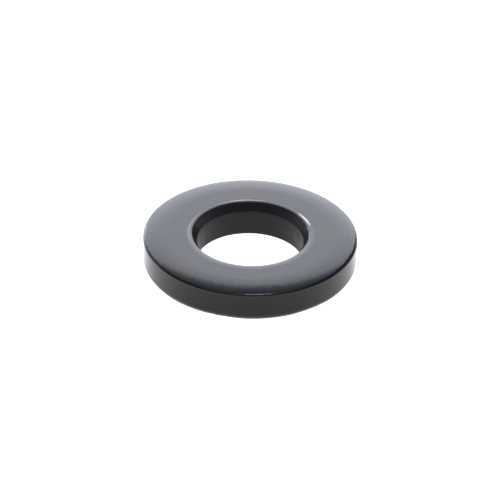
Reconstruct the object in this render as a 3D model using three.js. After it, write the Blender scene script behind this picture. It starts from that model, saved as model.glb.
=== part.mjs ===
// A heavy flat washer for a 1/2 inch or M12 bolt: one piece of hardened steel, blanked and pierced from
// plate, countersunk on its upper side so that it clears the fillet under a bolt head, and black oxide
// finished.
//
// Units are millimetres, +Z is up. The washer stands on its lower face: the origin is the centre of the
// bore in that face.
import * as THREE from "three";

const RIGHT_ANGLE = Math.PI / 2;

// Driving dimensions.
const OUTER_DIAMETER = 27.2;
const BORE_DIAMETER = 13.5;
const THICKNESS = 4.45;
// Countersink at the upper mouth of the bore.
const COUNTERSINK_DEPTH = 1.05;
const COUNTERSINK_ANGLE = THREE.MathUtils.degToRad(70); // between opposite sides
// Worn lip that blends the countersink into the upper face: part of an ellipse.
const LIP_WIDTH = 0.7;
const LIP_HEIGHT = 0.12;
// Roll-over that blanking leaves round the upper rim: a quarter of an ellipse.
const ROLL_WIDTH = 3.4;
const ROLL_HEIGHT = 0.6;
// Round of the lower rim.
const HEEL_RADIUS = 1.1;

// Facets: round the axis, and in each quarter turn of the section's curves.
const TURN_SEGMENTS = 120;
const CURVE_DIVISIONS = 4;

const BLACK_OXIDE = new THREE.MeshStandardMaterial({ color: 0x2b2c2f, roughness: 0.42, metalness: 0.6 });

// Half of the washer's section, as (distance from the axis, height), anticlockwise from the bore's foot.
function section() {
  const rim = OUTER_DIAMETER / 2;
  const bore = BORE_DIAMETER / 2;
  // The lip turns until it is as steep as the countersink, and its end lies on the countersink.
  const slope = Math.tan(COUNTERSINK_ANGLE / 2);
  const lipTurn = Math.atan2(LIP_WIDTH, LIP_HEIGHT * slope);
  const lipStop = RIGHT_ANGLE + lipTurn;
  const lipDrop = LIP_HEIGHT * (1 - Math.cos(lipTurn));
  const lipEnd = bore + (COUNTERSINK_DEPTH - lipDrop) * slope;
  const lipCentre = lipEnd + LIP_WIDTH * Math.sin(lipTurn);

  const outline = new THREE.Path();
  outline.moveTo(bore, 0);
  outline.lineTo(rim - HEEL_RADIUS, 0);
  outline.absarc(rim - HEEL_RADIUS, HEEL_RADIUS, HEEL_RADIUS, -RIGHT_ANGLE, 0);
  outline.absellipse(rim - ROLL_WIDTH, THICKNESS - ROLL_HEIGHT, ROLL_WIDTH, ROLL_HEIGHT, 0, RIGHT_ANGLE);
  outline.absellipse(lipCentre, THICKNESS - LIP_HEIGHT, LIP_WIDTH, LIP_HEIGHT, RIGHT_ANGLE, lipStop);
  outline.lineTo(bore, THICKNESS - COUNTERSINK_DEPTH);
  outline.closePath();
  return outline.getPoints(CURVE_DIVISIONS);
}

function makeWasher() {
  const washer = new THREE.Mesh(new THREE.LatheGeometry(section(), TURN_SEGMENTS), BLACK_OXIDE);
  washer.name = "flat_washer";
  washer.rotation.x = RIGHT_ANGLE; // a lathe turns about +Y
  return washer;
}

const part = new THREE.Group();
part.add(makeWasher());

export default part;
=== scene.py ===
"""A heavy black oxide flat washer, lying on a white light table with its countersunk side up.

The washer is one piece, so one mesh stands for the one CAD node: the section turned in fine steps, with the
small unevenness of a blanked and tumbled part. Lengths are in metres, in the CAD frame: the origin is the
centre of the bore in the lower face, and +Z is up.
"""

import math

import bpy
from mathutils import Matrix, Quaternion, Vector, noise


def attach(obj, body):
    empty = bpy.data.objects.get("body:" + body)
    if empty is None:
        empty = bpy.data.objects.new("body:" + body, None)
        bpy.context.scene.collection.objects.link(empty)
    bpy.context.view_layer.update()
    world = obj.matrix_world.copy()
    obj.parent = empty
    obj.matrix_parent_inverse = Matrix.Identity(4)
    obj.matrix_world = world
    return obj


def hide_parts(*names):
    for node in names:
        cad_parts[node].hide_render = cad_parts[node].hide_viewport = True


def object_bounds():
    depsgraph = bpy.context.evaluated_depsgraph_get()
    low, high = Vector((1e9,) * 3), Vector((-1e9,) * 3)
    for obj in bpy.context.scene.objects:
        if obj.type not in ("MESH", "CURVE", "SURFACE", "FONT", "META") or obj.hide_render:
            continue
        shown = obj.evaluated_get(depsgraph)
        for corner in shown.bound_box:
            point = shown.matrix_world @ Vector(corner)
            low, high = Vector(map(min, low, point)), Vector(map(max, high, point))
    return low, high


MM = 0.001
RIGHT_ANGLE = math.pi / 2

# The washer's section. Its outer diameter, bore and thickness come from the CAD.
COUNTERSINK_DEPTH = 1.05 * MM
COUNTERSINK_SLOPE = math.radians(35)  # between the cone and the axis
CONE_FOOT_RADIUS = 0.12 * MM  # where the cone meets the bore
LIP_WIDTH = 0.7 * MM  # the worn lip between the cone and the top is part of an ellipse
LIP_HEIGHT = 0.12 * MM
ROLL_WIDTH = 3.4 * MM
ROLL_HEIGHT = 0.6 * MM
HEEL_RADIUS = 1.1 * MM
BORE_FOOT_RADIUS = 0.08 * MM

# Unevenness: how far the surface may sink below its true shape, and how long the dips are.
WAVE_DEPTH = 0.006 * MM
WAVE_LENGTH = 3.0 * MM
NICK_DEPTH = 0.020 * MM
NICK_LENGTH = 0.9 * MM
NICK_RARITY = 0.2  # noise weaker than this leaves no nick
TEAR_DEPTH = 0.25 * MM  # where the worn foot is ragged
TEAR_LENGTH = 0.35 * MM
TEAR_SPREAD = 7.0 * MM  # the length of the ragged stretches

# How far up the worn foot, with its painted contact shade, reaches on the outside and in the bore.
FOOT_REACH = {"wall": 0.85 * MM, "bore": 0.2 * MM}

# How finely the mesh is divided: round the axis, and along each run of the section.
TURN_SEGMENTS = 512
BORE_FOOT_STEPS = 4
BOTTOM_STEPS = 12
HEEL_STEPS = 18
WALL_STEPS = 14
ROLL_STEPS = 40
TOP_STEPS = 14
LIP_STEPS = 24
CONE_STEPS = 12
CONE_FOOT_STEPS = 4
BORE_STEPS = 18

EDGE_RADIUS = 0.3 * MM  # a curve this tight counts as fully an edge
LEAST_ANGLE = 1e-6  # stands for no turn at all, to keep the radius finite

# The lip is rubbed a little all round, and its crest is rubbed barer in places. Widths are to one side.
CREST_OFFSET = 1.08 * MM  # from the bore to the crest
CREST_WIDTH = 0.15 * MM
LIP_WEAR = 0.012
LIP_WEAR_WIDTH = 0.35 * MM
# Azimuth, half width and how bare, from 0 to 1.
RUBBED_SPOTS = [
    (math.radians(27), math.radians(13), 0.26),
    (math.radians(99), math.radians(24), 0.07),
    (math.radians(172), math.radians(30), 0.03),
]

# The view.
CAMERA_ELEVATION = math.radians(33)
CAMERA_ROLL = math.radians(1.27)
CAMERA_DISTANCE = 0.408
CAMERA_LENS = 231.1
CAMERA_NEAREST = 0.01
AIM_HEIGHT = 0.42  # of the thickness


# --- The washer's shape ---


def arc(centre, radii, start, end, steps):
    """Points along an arc of an ellipse from one angle to another, both ends included."""
    turns = [start + (end - start) * i / steps for i in range(steps + 1)]
    return [(centre[0] + radii[0] * math.cos(turn), centre[1] + radii[1] * math.sin(turn)) for turn in turns]


def between(start, end, steps):
    """Points that divide a straight line, without its ends."""
    shares = [i / steps for i in range(1, steps)]
    return [(start[0] + (end[0] - start[0]) * s, start[1] + (end[1] - start[1]) * s) for s in shares]


def washer_section(bore, rim, top):
    """The section as a loop of (zone, (radius, height)), anticlockwise from the bore's foot.

    The zones take different finishes. The cut is the countersink with its lip.
    """
    # The lip turns until it is as steep as the cone, and its end lies on the cone.
    lip_turn = math.atan2(LIP_WIDTH, LIP_HEIGHT * math.tan(COUNTERSINK_SLOPE))
    lip_drop = LIP_HEIGHT * (1 - math.cos(lip_turn))
    lip_end = bore + (COUNTERSINK_DEPTH - lip_drop) * math.tan(COUNTERSINK_SLOPE)
    lip_centre = (lip_end + LIP_WIDTH * math.sin(lip_turn), top - LIP_HEIGHT)
    cone_drop = CONE_FOOT_RADIUS * math.tan(COUNTERSINK_SLOPE / 2)
    cone_centre = (bore + CONE_FOOT_RADIUS, top - COUNTERSINK_DEPTH - cone_drop)
    foot_centre = (bore + BORE_FOOT_RADIUS, BORE_FOOT_RADIUS)
    heel_centre = (rim - HEEL_RADIUS, HEEL_RADIUS)
    roll_centre = (rim - ROLL_WIDTH, top - ROLL_HEIGHT)

    foot = arc(foot_centre, (BORE_FOOT_RADIUS,) * 2, 2 * RIGHT_ANGLE, 3 * RIGHT_ANGLE, BORE_FOOT_STEPS)
    heel = arc(heel_centre, (HEEL_RADIUS,) * 2, -RIGHT_ANGLE, 0, HEEL_STEPS)
    roll = arc(roll_centre, (ROLL_WIDTH, ROLL_HEIGHT), 0, RIGHT_ANGLE, ROLL_STEPS)
    lip = arc(lip_centre, (LIP_WIDTH, LIP_HEIGHT), RIGHT_ANGLE, RIGHT_ANGLE + lip_turn, LIP_STEPS)
    cone_turn = 2 * RIGHT_ANGLE - COUNTERSINK_SLOPE
    cone_foot = arc(cone_centre, (CONE_FOOT_RADIUS,) * 2, cone_turn, 2 * RIGHT_ANGLE, CONE_FOOT_STEPS)
    runs = [
        ("bottom", foot),
        ("bottom", between(foot[-1], heel[0], BOTTOM_STEPS)),
        ("wall", heel),
        ("wall", between(heel[-1], roll[0], WALL_STEPS)),
        ("top", roll),
        ("top", between(roll[-1], lip[0], TOP_STEPS)),
        ("cut", lip),
        ("cut", between(lip[-1], cone_foot[0], CONE_STEPS)),
        ("bore", cone_foot),
        ("bore", between(cone_foot[-1], foot[0], BORE_STEPS)),
    ]
    return [(zone, point) for zone, points in runs for point in points]


def outward(before, after):
    """The unit normal, out of the metal, of a section that passes from one point to another."""
    along = Vector((after[0] - before[0], after[1] - before[1])).normalized()
    return Vector((along.y, -along.x))


def sharpness(before, here, after):
    """How much of an edge the section makes at a point: 0 where it is straight, 1 where it is tight."""
    incoming = Vector((here[0] - before[0], here[1] - before[1]))
    outgoing = Vector((after[0] - here[0], after[1] - here[1]))
    radius = (incoming.length + outgoing.length) / 2 / max(incoming.angle(outgoing), LEAST_ANGLE)
    return min(1.0, EDGE_RADIUS / radius)


def dip(place, length):
    """Smooth noise from 0 to 1 that varies over the given length."""
    return 0.5 + 0.5 * noise.noise(place / length)


def turn_between(first, second):
    """The size of the angle between two azimuths."""
    return abs((first - second + math.pi) % math.tau - math.pi)


def fading(distance, reach):
    """1 at no distance, and 0 at the reach and past it."""
    return max(0.0, 1 - distance / reach)


def bareness(zone, offset, azimuth):
    """How bare the surface is rubbed, at a distance from the bore and an azimuth."""
    if zone != "cut":
        return 0.0
    away = abs(offset - CREST_OFFSET)
    spots = [
        bare * fading(turn_between(azimuth, middle) ** 2, half_width ** 2)
        for middle, half_width, bare in RUBBED_SPOTS
    ]
    return LIP_WEAR * fading(away, LIP_WEAR_WIDTH) + max(spots) * fading(away, CREST_WIDTH)


def footing(zone, height):
    """How worn the foot is at a height, and how much painted contact shade it takes: 1 at the floor, 0 above
    its reach.
    """
    return fading(height, FOOT_REACH[zone]) if zone in FOOT_REACH else 0.0


def sinking(zone, place, edge):
    """How far the real surface lies below its true shape."""
    waves = WAVE_DEPTH * dip(place, WAVE_LENGTH)
    nicks = NICK_DEPTH * edge * max(0.0, noise.noise(place / NICK_LENGTH) - NICK_RARITY)
    if zone != "wall":
        return waves + nicks
    ragged = footing(zone, place.z) * max(0.0, noise.noise(place / TEAR_SPREAD))
    return waves + nicks + TEAR_DEPTH * ragged * dip(place, TEAR_LENGTH)


def turn_section(section):
    """The places of the vertices, one section after another round the axis, and the section's edge values."""
    points = [point for _, point in section]
    count = len(points)
    normals = [outward(points[i - 1], points[(i + 1) % count]) for i in range(count)]
    edges = [sharpness(points[i - 1], points[i], points[(i + 1) % count]) for i in range(count)]
    places = []
    for turn in range(TURN_SEGMENTS):
        angle = math.tau * turn / TURN_SEGMENTS
        across = Vector((math.cos(angle), math.sin(angle), 0))
        for (zone, (radius, height)), normal, edge in zip(section, normals, edges):
            place = across * radius + Vector((0, 0, height))
            out = across * normal.x + Vector((0, 0, normal.y))
            places.append(place - out * sinking(zone, place, edge))
    return places, edges


def ring_faces(count):
    """Quads that join each section to the next, and the last to the first."""
    faces = []
    for turn in range(TURN_SEGMENTS):
        here = turn * count
        there = (turn + 1) % TURN_SEGMENTS * count
        for i in range(count):
            j = (i + 1) % count
            faces.append((here + i, there + i, there + j, here + j))
    return faces


def store(mesh, name, values):
    """Keeps one number for each vertex, for the material to read."""
    mesh.attributes.new(name, "FLOAT", "POINT").data.foreach_set("value", values)


def make_washer(bore, rim, top):
    """The washer's object, from its bore radius, outer radius and thickness."""
    section = washer_section(bore, rim, top)
    places, edges = turn_section(section)
    mesh = bpy.data.meshes.new("washer_body")
    mesh.from_pydata(places, [], ring_faces(len(section)))
    mesh.shade_smooth()
    feet = [footing(zone, height) for zone, (_, height) in section]
    bare = [
        bareness(zone, radius - bore, math.tau * turn / TURN_SEGMENTS)
        for turn in range(TURN_SEGMENTS)
        for zone, (radius, _) in section
    ]
    store(mesh, "bare", bare)
    store(mesh, "edge", edges * TURN_SEGMENTS)
    store(mesh, "foot", feet * TURN_SEGMENTS)
    for column, trait in enumerate(TRAITS):
        store(mesh, trait, [FINISH[zone][column] for zone, _ in section] * TURN_SEGMENTS)
    washer = bpy.data.objects.new("washer_body", mesh)
    bpy.context.scene.collection.objects.link(washer)
    return washer


# --- Materials ---


class Nodes:
    """Short ways to add and link the nodes of one material or world."""

    def __init__(self, owner):
        owner.use_nodes = True
        self.tree = owner.node_tree
        self.tree.nodes.clear()

    def feed(self, socket, value):
        """Links an input to another node's output, or sets it to a value."""
        if isinstance(value, bpy.types.NodeSocket):
            self.tree.links.new(value, socket)
        else:
            socket.default_value = value

    def add(self, kind, inputs=None, **settings):
        """A node with its settings, and its inputs by name or number."""
        node = self.tree.nodes.new(kind)
        for name, value in settings.items():
            setattr(node, name, value)
        for name, value in (inputs or {}).items():
            self.feed(node.inputs[name], value)
        return node

    def math(self, operation, *values):
        return self.add("ShaderNodeMath", dict(enumerate(values)), operation=operation).outputs[0]

    def vector(self, operation, *values):
        return self.add("ShaderNodeVectorMath", dict(enumerate(values)), operation=operation)

    def scale(self, vector, factor):
        """A vector or colour times one number."""
        inputs = {"Vector": vector, "Scale": factor}
        return self.add("ShaderNodeVectorMath", inputs, operation="SCALE").outputs[0]

    def attribute(self, name):
        return self.add("ShaderNodeAttribute", attribute_name=name).outputs["Fac"]

    def noise(self, place, size, detail=2.0):
        """Noise from 0 to 1 whose blotches have about the given size."""
        inputs = {"Vector": place, "Scale": 1 / size, "Detail": detail}
        return self.add("ShaderNodeTexNoise", inputs).outputs["Fac"]

    def ramp(self, value, change, low=0.0, high=1.0):
        """Low up to the start of the change, high from its end, and a straight line between."""
        inputs = {"Value": value, "From Min": change[0], "From Max": change[1], "To Min": low, "To Max": high}
        return self.add("ShaderNodeMapRange", inputs).outputs["Result"]

    def mix(self, share, first, second):
        """A blend of two colours. The colour sockets of this node are its inputs 6 and 7 and its output 2."""
        return self.add("ShaderNodeMix", {0: share, 6: first, 7: second}, data_type="RGBA").outputs[2]


# The finish in each zone. Clouds, streaks and rings say how strong the zone's colour and relief patterns are.
TRAITS = ["roughness", "paleness", "warmth", "clouds", "streaks", "rings"]
FINISH = {
    "bottom": [0.25, 1.0, 0.0, 1.0, 0.0, 0.0],
    "wall": [0.14, 0.3, 1.0, 0.1, 1.0, 0.0],
    "top": [0.20, 1.0, 0.0, 1.0, 0.0, 0.0],
    "cut": [0.20, 1.9, 0.0, 0.1, 0.0, 1.0],
    "bore": [0.46, 0.2, 0.5, 0.1, 0.5, 0.0],
}
OXIDE_BLUE = (0.0047, 0.0086, 0.0150, 1)
OXIDE_WARM = (0.0148, 0.0099, 0.0064, 1)
OXIDE_EVEN = (0.0105, 0.0095, 0.0120, 1)
OXIDE_RUBBED = (0.014, 0.0135, 0.0135, 1)  # thinned along the edges
CONTACT_SHADE_BROWN = (0.052, 0.022, 0.011, 1)  # painted contact shade: the warm shadow where the washer meets the floor, on the foot
BARE_STEEL = (0.54, 0.48, 0.42, 1)
EDGE_SMOOTHING = 0.08  # how much less rough the edges are
FOOT_ROUGHENING = 0.2
ROUGHNESS_VARIATION = 0.03
OXIDE_INDEX = 1.34

TINT_SIZE = 3.0 * MM
TINT_DETAIL = 4.0
BLOTCH_SIZE = 0.65 * MM
BLOTCH_DETAIL = 1.0
GRAIN_SIZE = 0.15 * MM
STREAK_SIZE = 0.12 * MM
STREAK_STRETCH = 0.03  # of a streak's width to its length
RING_SIZE = 0.09 * MM
BLOTCH_RELIEF = 0.0120 * MM
GRAIN_RELIEF = 0.0050 * MM
STREAK_RELIEF = 0.0006 * MM
RING_RELIEF = 0.0003 * MM

# The values of a noise or attribute between which a look changes from none to full.
TINT_CHANGE = (0.4, 0.6)
RUB_CHANGE = (0.35, 0.65)
# The next three shape the painted contact shade at the foot: its patches, its specks and how high it reaches.
CONTACT_SHADE_PATCH_CHANGE = (0.35, 0.6)
CONTACT_SHADE_SPECK_CHANGE = (0.3, 0.6)
CONTACT_SHADE_FOOT_CHANGE = (0.05, 0.4)
ROUGHNESS_CHANGE = (0.3, 0.7)
BARE_CHANGE = (0.0, 0.1)
# How much of a look is left where its noise is low.
LEAST_RUB = 0.2
LEAST_PATCH = 0.4
LEAST_SPECK = 0.2


def oxide_relief(nodes, place, blotch, grain):
    """Fine height: grain and blotches everywhere, streaks down the walls, tool rings in the countersink."""
    streak = nodes.noise(nodes.vector("MULTIPLY", place, (1, 1, STREAK_STRETCH)).outputs[0], STREAK_SIZE)
    radius = nodes.vector("LENGTH", nodes.vector("MULTIPLY", place, (1, 1, 0)).outputs[0]).outputs["Value"]
    height = nodes.add("ShaderNodeSeparateXYZ", {0: place}).outputs["Z"]
    ring = nodes.noise(nodes.add("ShaderNodeCombineXYZ", {"X": radius, "Y": height}).outputs[0], RING_SIZE)
    layers = [
        ("clouds", blotch, BLOTCH_RELIEF),
        ("clouds", grain, GRAIN_RELIEF),
        ("streaks", streak, STREAK_RELIEF),
        ("rings", ring, RING_RELIEF),
    ]
    total = 0.0
    for trait, pattern, relief in layers:
        layer = nodes.math("MULTIPLY", nodes.attribute(trait), pattern)
        total = nodes.math("MULTIPLY_ADD", layer, relief, total)
    return nodes.add("ShaderNodeBump", {"Height": total, "Distance": 1.0}).outputs["Normal"]


def oxide_colour(nodes, place, blotch, grain):
    """Black with clouds of blue and brown, rubbed paler along the edges, with brown patches of painted
    contact shade at the foot.
    """
    tint = nodes.ramp(nodes.noise(place, TINT_SIZE, TINT_DETAIL), TINT_CHANGE)
    even = nodes.mix(nodes.attribute("warmth"), OXIDE_EVEN, OXIDE_WARM)
    body = nodes.mix(nodes.attribute("clouds"), even, nodes.mix(tint, OXIDE_BLUE, OXIDE_WARM))
    body = nodes.scale(body, nodes.attribute("paleness"))
    rubbed = nodes.math("MULTIPLY", nodes.attribute("edge"), nodes.ramp(grain, RUB_CHANGE, LEAST_RUB))
    body = nodes.mix(rubbed, body, OXIDE_RUBBED)
    # Painted contact shade: warm brown patches low on the foot, standing for the shadow where the washer
    # meets the floor.
    patches = nodes.ramp(blotch, CONTACT_SHADE_PATCH_CHANGE, LEAST_PATCH)
    patches = nodes.math("MULTIPLY", patches, nodes.ramp(grain, CONTACT_SHADE_SPECK_CHANGE, LEAST_SPECK))
    low = nodes.ramp(nodes.attribute("foot"), CONTACT_SHADE_FOOT_CHANGE)
    body = nodes.mix(nodes.math("MULTIPLY", low, patches), body, CONTACT_SHADE_BROWN)
    return nodes.mix(nodes.ramp(nodes.attribute("bare"), BARE_CHANGE), body, BARE_STEEL)


def oxide_roughness(nodes, blotch, grain):
    """Satin on top, smoother on the sheared walls and the rubbed edges, duller at the foot."""
    smooth = nodes.math("MULTIPLY", nodes.attribute("edge"), EDGE_SMOOTHING)
    base = nodes.math("SUBTRACT", nodes.attribute("roughness"), smooth)
    for pattern in (blotch, grain):
        change = nodes.ramp(pattern, ROUGHNESS_CHANGE, -ROUGHNESS_VARIATION, ROUGHNESS_VARIATION)
        base = nodes.math("ADD", base, change)
    return nodes.math("ADD", base, nodes.math("MULTIPLY", nodes.attribute("foot"), FOOT_ROUGHENING))


def black_oxide():
    """The washer's one material, which reads the finish of each zone from the mesh."""
    material = bpy.data.materials.new("black_oxide")
    nodes = Nodes(material)
    place = nodes.add("ShaderNodeTexCoord").outputs["Object"]
    blotch = nodes.noise(place, BLOTCH_SIZE, BLOTCH_DETAIL)
    grain = nodes.noise(place, GRAIN_SIZE)
    inputs = {
        "Base Color": oxide_colour(nodes, place, blotch, grain),
        "Metallic": nodes.attribute("bare"),
        "Roughness": oxide_roughness(nodes, blotch, grain),
        "Normal": oxide_relief(nodes, place, blotch, grain),
        "IOR": OXIDE_INDEX,
    }
    shader = nodes.add("ShaderNodeBsdfPrincipled", inputs)
    nodes.add("ShaderNodeOutputMaterial", {"Surface": shader.outputs[0]})
    return material


# --- The studio ---

FLOOR_HALF = 2.0
FLOOR_GLOW = 1.25
FLOOR_WHITE = (0.8, 0.8, 0.8, 1)


def light_table():
    """A white surface that glows and is lit as well. Seen from below it is clear."""
    material = bpy.data.materials.new("light_table")
    nodes = Nodes(material)
    glow = nodes.add("ShaderNodeEmission", {"Strength": FLOOR_GLOW}).outputs[0]
    lit = nodes.add("ShaderNodeBsdfDiffuse", {"Color": FLOOR_WHITE}).outputs[0]
    above = nodes.add("ShaderNodeAddShader", {0: glow, 1: lit}).outputs[0]
    clear = nodes.add("ShaderNodeBsdfTransparent").outputs[0]
    below = nodes.add("ShaderNodeNewGeometry").outputs["Backfacing"]
    surface = nodes.add("ShaderNodeMixShader", {0: below, 1: above, 2: clear}).outputs[0]
    nodes.add("ShaderNodeOutputMaterial", {"Surface": surface})
    return material


def make_floor():
    """A square light table under the washer, as staging."""
    half = FLOOR_HALF
    corners = [(-half, -half, 0), (half, -half, 0), (half, half, 0), (-half, half, 0)]
    mesh = bpy.data.meshes.new("floor")
    mesh.from_pydata(corners, [], [(0, 1, 2, 3)])
    mesh.materials.append(light_table())
    floor = bpy.data.objects.new("floor", mesh)
    bpy.context.scene.collection.objects.link(floor)


LIGHT_DISTANCE = 0.6
LAMP_COLOUR = (0.97, 1.0, 1.1)

# Soft boxes: name, azimuth, elevation, width, height, all in degrees as seen from the washer, and radiance.
# Azimuth 0 is behind the washer as the camera sees it, and 90 is to its right.
SOFTBOXES = [
    ("key", -3, 33, 54, 30, 4.35),
    ("key top", -3, 57, 54, 18, 0.9),
    ("key foot", 6, 9, 60, 18, 3.1),
    ("left foot", -36, 12, 24, 20, 5.0),
    ("left", -62, 26, 26, 16, 2.2),
    ("overhead", 0, 90, 48, 48, 0.5),
    ("spot", 90, 86, 9, 9, 16.0),
]
SKY = (0.10, 0.11, 0.13, 1)
HORIZON = (0.50, 0.52, 0.57, 1)  # a pale band round the foot of the sky
HORIZON_CHANGE = (math.sin(math.radians(18)), math.sin(math.radians(32)))  # as heights on a unit sphere


def softbox(name, azimuth, elevation, width, height, radiance):
    """A rectangular lamp aimed at the washer."""
    a, e = math.radians(azimuth), math.radians(elevation)
    towards = Vector((math.sin(a) * math.cos(e), math.cos(a) * math.cos(e), math.sin(e)))
    lamp = bpy.data.lights.new(name, "AREA")
    lamp.shape = "RECTANGLE"
    lamp.color = LAMP_COLOUR
    lamp.size = 2 * LIGHT_DISTANCE * math.tan(math.radians(width / 2))
    lamp.size_y = 2 * LIGHT_DISTANCE * math.tan(math.radians(height / 2))
    lamp.energy = radiance * math.pi * lamp.size * lamp.size_y
    box = bpy.data.objects.new(name, lamp)
    box.location = towards * LIGHT_DISTANCE
    box.rotation_euler = towards.to_track_quat("Z", "Y").to_euler()
    box.visible_camera = False
    bpy.context.scene.collection.objects.link(box)


def dim_room():
    """A world that is dark overhead and paler towards the horizon."""
    world = bpy.data.worlds.new("dim_room")
    nodes = Nodes(world)
    direction = nodes.add("ShaderNodeTexCoord").outputs["Generated"]
    height = nodes.add("ShaderNodeSeparateXYZ", {0: direction}).outputs["Z"]
    colour = nodes.mix(nodes.ramp(height, HORIZON_CHANGE), HORIZON, SKY)
    background = nodes.add("ShaderNodeBackground", {"Color": colour})
    nodes.add("ShaderNodeOutputWorld", {"Surface": background.outputs[0]})
    return world


def make_studio():
    """The lamps and the world, with colours shown by the standard view transform."""
    for settings in SOFTBOXES:
        softbox(*settings)
    bpy.context.scene.world = dim_room()
    bpy.context.scene.view_settings.view_transform = "Standard"


def make_camera(top):
    """A camera in front of the washer, rolled a little, that looks down at it."""
    data = bpy.data.cameras.new("camera")
    data.lens = CAMERA_LENS
    data.clip_start = CAMERA_NEAREST
    camera = bpy.data.objects.new("camera", data)
    back = Vector((0, -math.cos(CAMERA_ELEVATION), math.sin(CAMERA_ELEVATION)))
    camera.location = Vector((0, 0, AIM_HEIGHT * top)) + back * CAMERA_DISTANCE
    camera.rotation_euler = (back.to_track_quat("Z", "Y") @ Quaternion((0, 0, 1), CAMERA_ROLL)).to_euler()
    bpy.context.scene.collection.objects.link(camera)
    bpy.context.scene.camera = camera


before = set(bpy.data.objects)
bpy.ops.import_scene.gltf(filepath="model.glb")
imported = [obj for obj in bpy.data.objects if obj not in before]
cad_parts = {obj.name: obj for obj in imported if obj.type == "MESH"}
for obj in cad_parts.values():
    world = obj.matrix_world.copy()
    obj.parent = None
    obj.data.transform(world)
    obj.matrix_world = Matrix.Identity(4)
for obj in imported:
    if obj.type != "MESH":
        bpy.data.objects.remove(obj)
cad_low, cad_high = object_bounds()
cad_bore = min(vertex.co.xy.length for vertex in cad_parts["flat_washer"].data.vertices)

washer = make_washer(cad_bore, cad_high.x, cad_high.z)
washer.data.materials.append(black_oxide())
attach(washer, "root")
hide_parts("flat_washer")
make_floor()
make_studio()
make_camera(cad_high.z)
